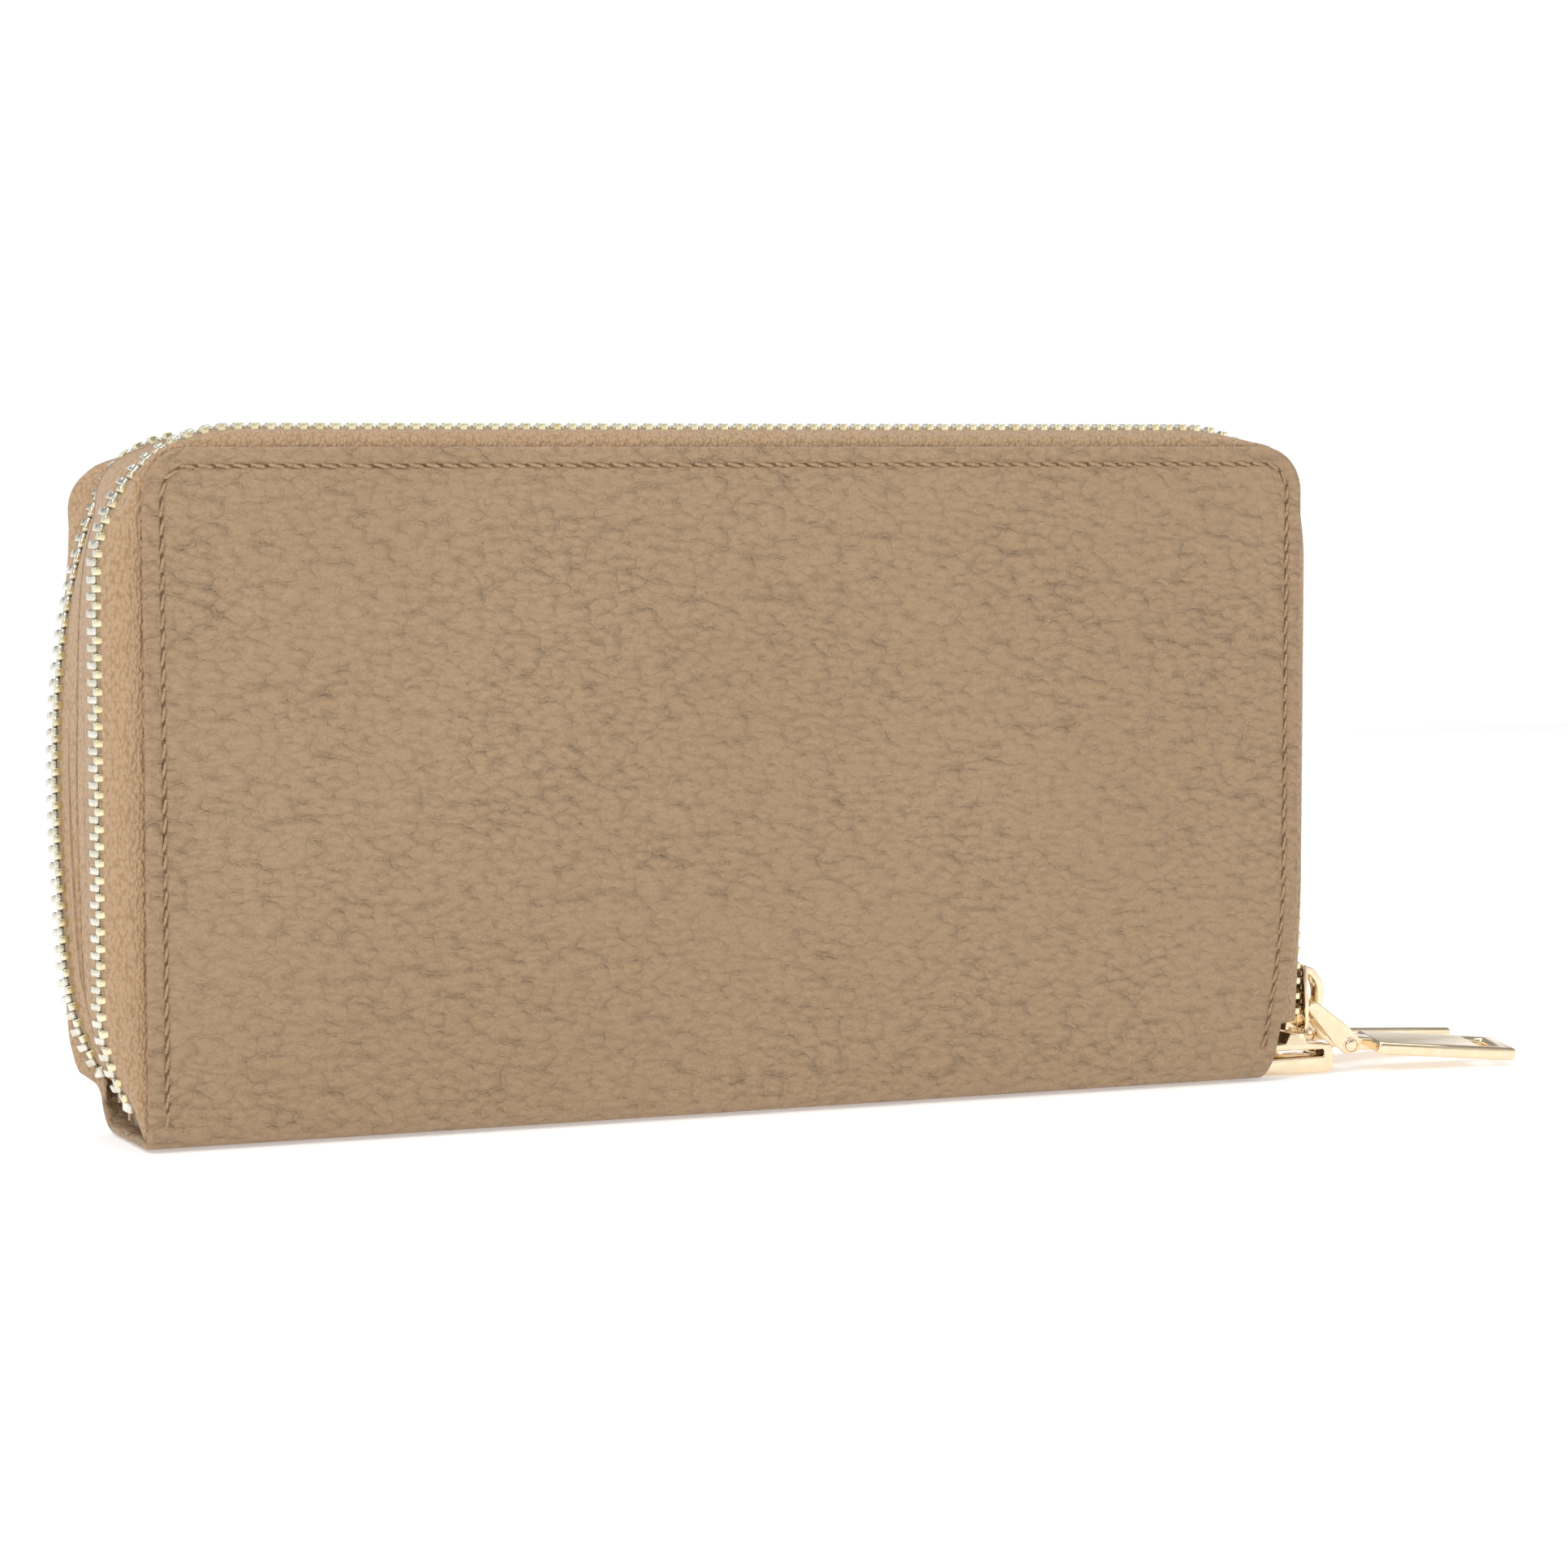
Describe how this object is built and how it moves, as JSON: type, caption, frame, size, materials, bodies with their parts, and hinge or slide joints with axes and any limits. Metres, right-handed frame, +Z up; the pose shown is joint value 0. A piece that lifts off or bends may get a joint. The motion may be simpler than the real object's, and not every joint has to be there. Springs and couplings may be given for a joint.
{
  "type": "zip around wallet",
  "caption": "Long zip-around wallet with two zips: front and rear covers open from a shared spine round a middle part; metal sliders with hinged pulls.",
  "frame": {"origin": "centre of the spine's flat underside, on the surface the wallet stands on", "axes": "+X along the wallet towards the sliders' end, -Y the front cover's side, +Z up"},
  "size_m": [0.2548, 0.045, 0.1105],
  "materials": {
    "leather": "pebbled full-grain, satin",
    "lining": "fine twill lining",
    "tape": "woven zip tape",
    "teeth": "polished pale gold",
    "board": "pressed board",
    "gold": "mirror-polished champagne gold"
  },
  "bodies": {
    "middle": {"spine_leather": "leather", "spine_stay": "board", "middle_band": "tape", "front_divider": "leather", "rear_divider": "leather", "front_slot_binding": "leather", "front_note_pocket": "leather", "rear_note_pocket": "leather", "front_inner_tape": "tape", "front_inner_teeth": "teeth", "rear_inner_tape": "tape", "rear_inner_teeth": "teeth", "front_left_gusset": "lining", "front_right_gusset": "lining", "rear_left_gusset": "lining", "rear_right_gusset": "lining", "front_tail_clip": "gold", "rear_tail_clip": "gold", "front_end_stop": "gold", "rear_end_stop": "gold"},
    "front_cover": {"front_cover_leather": "leather", "front_cover_board": "board", "front_cover_lining": "lining", "front_outer_tape": "tape", "front_outer_teeth": "teeth", "front_card_pocket_1": "leather", "front_card_pocket_2": "leather", "front_card_pocket_3": "leather", "front_card_pocket_4": "leather"},
    "rear_cover": {"rear_cover_leather": "leather", "rear_cover_board": "board", "rear_cover_lining": "lining", "rear_outer_tape": "tape", "rear_outer_teeth": "teeth", "rear_slip_pocket": "leather"},
    "front_slider": {"front_slider": "gold"},
    "rear_slider": {"rear_slider": "gold"},
    "front_clevis": {"front_clevis": "gold", "front_rivet": "gold"},
    "rear_clevis": {"rear_clevis": "gold", "rear_rivet": "gold"},
    "front_pull": {"front_pull": "gold"},
    "rear_pull": {"rear_pull": "gold"}
  },
  "joints": [
    {"name": "front_cover_open", "type": "hinge", "parent": "middle", "child": "front_cover", "pos_m": [0, -0.014, 0.002], "axis": [1, 0, 0], "range_deg": [0, 40]},
    {"name": "rear_cover_open", "type": "hinge", "parent": "middle", "child": "rear_cover", "pos_m": [0, 0.014, 0.007], "axis": [-1, 0, 0], "range_deg": [0, 40]},
    {"name": "front_zip_travel", "type": "slide", "parent": "middle", "child": "front_slider", "axis": [0, 0, 1], "range_m": [0, 0.066]},
    {"name": "rear_zip_travel", "type": "slide", "parent": "middle", "child": "rear_slider", "axis": [0, 0.1736, 0.9848], "range_m": [0, 0.066]},
    {"name": "front_clevis_swing", "type": "hinge", "parent": "front_slider", "child": "front_clevis", "pos_m": [0.10685, -0.0055, 0.0113], "axis": [-0.1045, -0.9891, -0.104], "range_deg": [0, 80]},
    {"name": "rear_clevis_swing", "type": "hinge", "parent": "rear_slider", "child": "rear_clevis", "pos_m": [0.10685, 0.00645, 0.01311], "axis": [0.1392, -0.9848, 0.1035], "range_deg": [0, 90]},
    {"name": "front_pull_swing", "type": "hinge", "parent": "front_clevis", "child": "front_pull", "pos_m": [0.11411, -0.00556, 0.00457], "axis": [-0.1045, -0.9891, -0.104], "range_deg": [-30, 18]},
    {"name": "rear_pull_swing", "type": "hinge", "parent": "rear_clevis", "child": "rear_pull", "pos_m": [0.11175, 0.00623, 0.00451], "axis": [0.1392, -0.9848, 0.1035], "range_deg": [-30, 6]}
  ]
}
